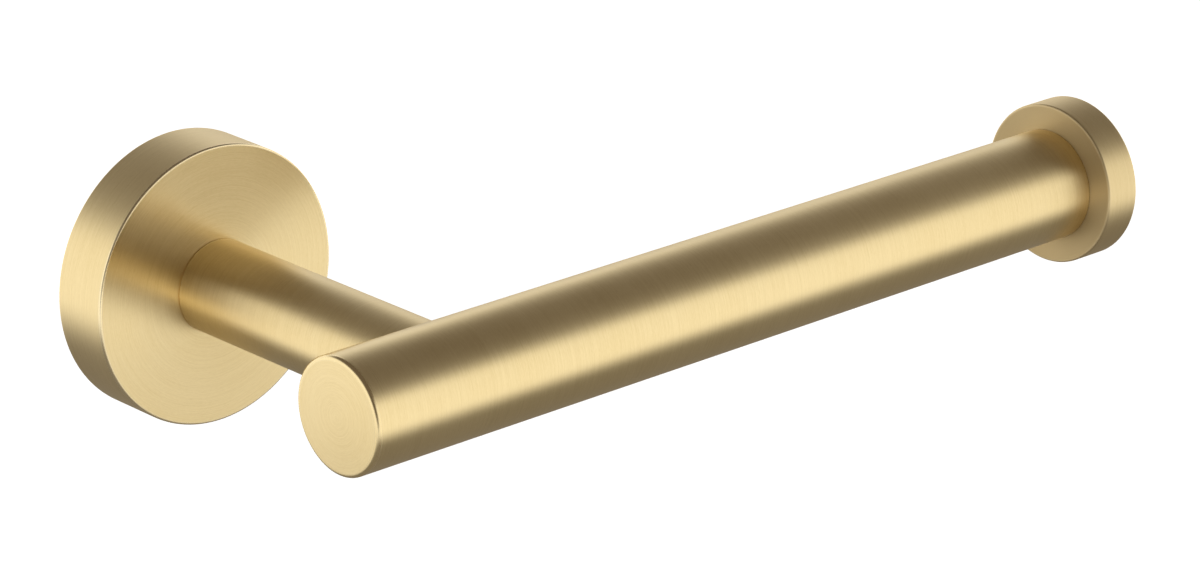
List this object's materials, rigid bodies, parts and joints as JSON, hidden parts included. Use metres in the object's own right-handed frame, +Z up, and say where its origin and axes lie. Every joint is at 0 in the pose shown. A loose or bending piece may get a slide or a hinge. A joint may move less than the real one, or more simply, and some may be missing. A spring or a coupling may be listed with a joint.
{
  "type": "toilet paper holder",
  "caption": "Open-arm toilet paper holder: round wall rosette on a hidden bracket, a short post and a round bar with an end stop.",
  "frame": {"origin": "the middle of the rosette on the wall's surface", "axes": "+Y into the wall, +X along the bar towards its stop, +Z up"},
  "size_m": [0.192, 0.093, 0.054],
  "materials": {
    "brushed_gold": "brass with a satin champagne-gold plating, finely brushed round each turned piece",
    "plated_steel": "zinc-plated pressed steel, dull",
    "stainless_steel": "plain stainless fasteners",
    "turned_brass": "bare turned brass, unplated"
  },
  "bodies": {
    "wall_bracket": {"wall_bracket": "plated_steel"},
    "holder": {"rosette": "brushed_gold", "post": "brushed_gold", "dowel_pin": "stainless_steel", "flat_washer": "stainless_steel", "lock_washer": "stainless_steel", "tie_screw": "stainless_steel", "bar_tube": "brushed_gold", "anchor_plug": "turned_brass", "near_end_cap": "brushed_gold", "stop_insert": "turned_brass", "stop_stud": "stainless_steel", "end_stop": "brushed_gold"},
    "set_screw": {"set_screw": "stainless_steel"}
  },
  "joints": [
    {"name": "lift_off", "type": "slide", "parent": "wall_bracket", "child": "holder", "axis": [0, -1, 0], "range_m": [0, 0.025]},
    {"name": "set_screw_travel", "type": "slide", "parent": "holder", "child": "set_screw", "axis": [0, 0, -1], "range_m": [0, 0.002]}
  ]
}
